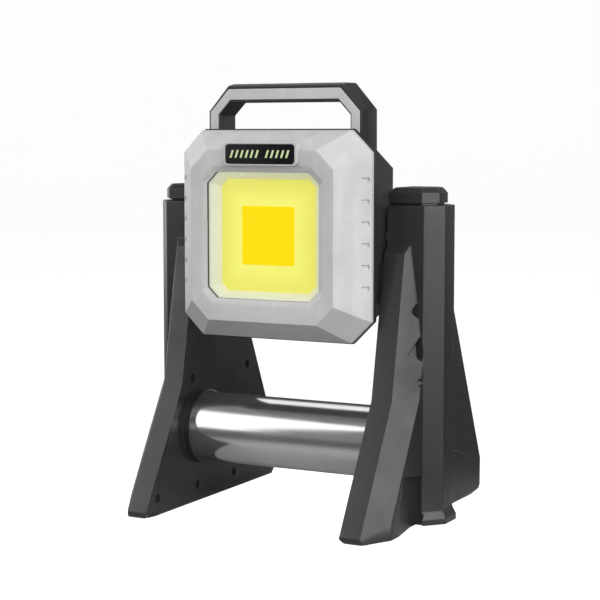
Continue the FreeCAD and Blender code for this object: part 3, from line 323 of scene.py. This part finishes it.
def gloss(name, colour, rough, dust=(0.1, 0.1, 0.1), specular=0.5):
    """Smooth printed or polished plastic with a little dust."""
    shader = Shader(name, colour, rough, specular=specular)
    specks = shader.noise(1.2 * MM, 4.0, 0.7)
    shader.tint(shader.ranged(specks, 0.62, 0.8, 0.0, 0.35), dust)
    shader.roughen(shader.noise(8 * MM), rough - 0.04, rough + 0.08)
    shader.bump(shader.noise(0.8 * MM), 0.004 * MM)
    return shader.done()


def print_ink():
    """Pale green ink of the label's bars."""
    shader = Shader("label_print", (0.50, 0.62, 0.30), 0.5)
    cloud = shader.noise(0.7 * MM)
    shader.tint(shader.ranged(cloud, 0.4, 0.7, 0.0, 0.6), (0.62, 0.74, 0.42))
    shader.roughen(cloud, 0.4, 0.6)
    shader.bump(cloud, 0.01 * MM)
    return shader.done()


label_gloss = gloss("label_black", (0.003, 0.003, 0.004), 0.16, dust=(0.03, 0.03, 0.03),
                    specular=0.2)
indicator = gloss("indicator_window", (0.62, 0.66, 0.64), 0.3, dust=(0.45, 0.47, 0.45))
emitter_low, emitter_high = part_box("cob_emitter")
reflector_low, reflector_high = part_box("reflector")
emitter_centre = (emitter_low + emitter_high) / 2
emitter_half = (emitter_high.x - emitter_low.x) / 2

FINISHES = {
    "black_plastic": black_plastic,
    "inner_plastic": inner_plastic,
    "black_rubber": rubber,
    "zinc_steel": zinc,
    "bearing_bronze": bronze,
    "friction_fibre": fibre,
    "chromed_tube": chrome(),
    "grey_plastic": grey_plastic,
    "clear_lens": clear_lens(),
    "white_reflector": reflector_painted_glow(reflector_low.y, reflector_high.y),
    "light_board": board_painted_glow(emitter_centre, emitter_half),
    "light_emitter": phosphor(),
    "sink_aluminium": aluminium,
    "cell_can": cell_sleeve,
    "circuit_board": board_mask,
    "lead_insulation": insulation,
    "label_black": label_gloss,
    "label_print": print_ink(),
    "indicator_window": indicator,
}
OWN_FINISH = {"rear_housing": head_plastic, "handle_frame": head_plastic}
for side in SIDES:
    OWN_FINISH[side + "_cover_screws"] = dark_screw()

for part in frame["record"]["subparts"]:
    node = nodes[part["node"]]
    node.data.materials.clear()
    node.data.materials.append(OWN_FINISH.get(part["node"], FINISHES[part["material_slot"]]))


# ------------------------------------------------------------------ softened CAD edges
def soften(name, width, crisp=False, segments=2, angle=24):
    """Round a CAD node's sharp edges without touching its mesh; crisp keeps each facet flat."""
    node = nodes[name]
    weld = node.modifiers.new("weld", "WELD")
    weld.merge_threshold = 0.002 * MM
    bevel = node.modifiers.new("bevel", "BEVEL")
    bevel.width = width
    bevel.segments = segments
    bevel.limit_method = "ANGLE"
    bevel.angle_limit = math.radians(angle)
    bevel.use_clamp_overlap = False
    bevel.miter_outer = "MITER_SHARP"
    bevel.harden_normals = crisp
    if not crisp:
        smooth = node.modifiers.new("smooth", "WEIGHTED_NORMAL")
        smooth.keep_sharp = False


for side in SIDES:
    soften(side + "_outer_shell", 0.7 * MM)
    soften(side + "_top_cap", 0.6 * MM, crisp=True)
soften("front_bezel", 0.5 * MM)
soften("handle_frame", 0.6 * MM)
soften("handle_trim", 0.35 * MM)

# ------------------------------------------------------------------ floor, light, camera
def floor():
    """Pale floor that sweeps up into a backdrop."""
    half_width = 8.0
    front_edge = -6.0
    sweep = 2.0
    sweep_start = 4.0
    top = 5.0
    steps = 8
    mesh = bmesh.new()
    profile = [(front_edge, 0.0)]
    for i in range(steps + 1):
        turn = math.radians(90 * i / steps)
        profile.append((sweep_start + sweep * math.sin(turn), sweep - sweep * math.cos(turn)))
    profile.append((sweep_start + sweep, top))
    rows = []
    for x in (-half_width, half_width):
        rows.append([mesh.verts.new((x, y, z)) for y, z in profile])
    for i in range(len(profile) - 1):
        mesh.faces.new((rows[0][i], rows[1][i], rows[1][i + 1], rows[0][i + 1]))
    data = bpy.data.meshes.new("floor")
    mesh.to_mesh(data)
    mesh.free()
    for polygon in data.polygons:
        polygon.use_smooth = True
    made = bpy.data.objects.new("floor", data)
    made.rotation_euler = (0, 0, math.radians(CAMERA_TURN))
    bpy.context.scene.collection.objects.link(made)
    # white paper in plain view; painted bounce pool: its colour is pale near the object and dark further
    # off, so the light it returns to the object falls off with distance
    seen_glow = 0.95
    near, far = 0.12, 0.24
    shader = Shader("floor", (0.4, 0.4, 0.4), 0.8, specular=0.1)
    seen = shader.node("ShaderNodeLightPath").outputs["Is Camera Ray"]
    shader.bsdf.inputs["Emission Color"].default_value = WHITE
    shader.link(shader.maths("MULTIPLY", seen, seen_glow), shader.bsdf.inputs["Emission Strength"])
    reach = shader.node("ShaderNodeVectorMath", operation="LENGTH")
    shader.link(shader.place, reach.inputs[0])
    # painted pool of light: pale floor colour within near of the object, dark beyond far
    shader.base = shader.mixed(shader.ranged(reach.outputs["Value"], near, far, 0.0, 1.0),
                               (0.60, 0.60, 0.60), (0.08, 0.08, 0.08))
    cloud = shader.noise(0.6, 3.0)
    shader.tint(shader.ranged(cloud, 0.3, 0.7, 0.0, 0.1), (0.20, 0.20, 0.20))
    shader.bump(shader.noise(2 * MM), 0.02 * MM)
    made.data.materials.append(shader.done())


def soft_box(name, position, target, size, power):
    """A rectangular light turned to its target, and not seen by the camera."""
    light = bpy.data.lights.new(name, "AREA")
    light.shape = "RECTANGLE"
    light.size, light.size_y = size
    light.energy = power
    made = bpy.data.objects.new(name, light)
    made.location = position
    direction = Vector(target) - Vector(position)
    made.rotation_euler = direction.to_track_quat("-Z", "Y").to_euler()
    made.visible_camera = False
    bpy.context.scene.collection.objects.link(made)


floor()
MIDDLE = (0.0, 0.0, 0.16)
soft_box("key", (1.7, -0.25, 0.75), MIDDLE, (1.5, 1.7), 31.0)
soft_box("fill", (-1.30, -1.016, 1.05), (0.0, 0.0, 1.05), (1.4, 1.7), 16.0)
soft_box("high_front", (0.6, -1.4, 1.7), MIDDLE, (1.6, 1.2), 17.0)
soft_box("low_front", (0.75, -1.3, 0.14), MIDDLE, (0.9, 0.5), 8.0)
soft_box("side", (-1.6, 0.4, 0.55), MIDDLE, (1.3, 1.1), 10.0)
soft_box("low_back", (0.0, 1.6, 0.30), MIDDLE, (0.6, 0.6), 5.0)
soft_box("high_back", (-0.5, 1.2, 1.6), MIDDLE, (1.4, 1.2), 8.0)


def studio_world(light):
    """Even light from all round, shown as plain white where the camera sees past the floor."""
    world = bpy.data.worlds.new("studio")
    world.use_nodes = True
    tree = world.node_tree
    background = tree.nodes["Background"]
    background.inputs["Color"].default_value = WHITE
    sight = tree.nodes.new("ShaderNodeLightPath")
    strength = tree.nodes.new("ShaderNodeMapRange")
    strength.inputs["To Min"].default_value = light
    strength.inputs["To Max"].default_value = 1.0
    tree.links.new(sight.outputs["Is Camera Ray"], strength.inputs["Value"])
    tree.links.new(strength.outputs["Result"], background.inputs["Strength"])
    bpy.context.scene.world = world


studio_world(0.32)

camera_data = bpy.data.cameras.new("camera")
camera_data.sensor_width = 36.0
camera_data.lens = 99.72
camera_data.clip_start = 0.05
camera_data.clip_end = 50.0
camera = bpy.data.objects.new("camera", camera_data)
camera.location = (0.54655, -1.0493, 0.26626)
camera.rotation_euler = (math.radians(90.0 - CAMERA_DOWN), 0.0, math.radians(CAMERA_TURN))
bpy.context.scene.collection.objects.link(camera)
bpy.context.scene.camera = camera
bpy.context.scene.view_settings.view_transform = "Standard"
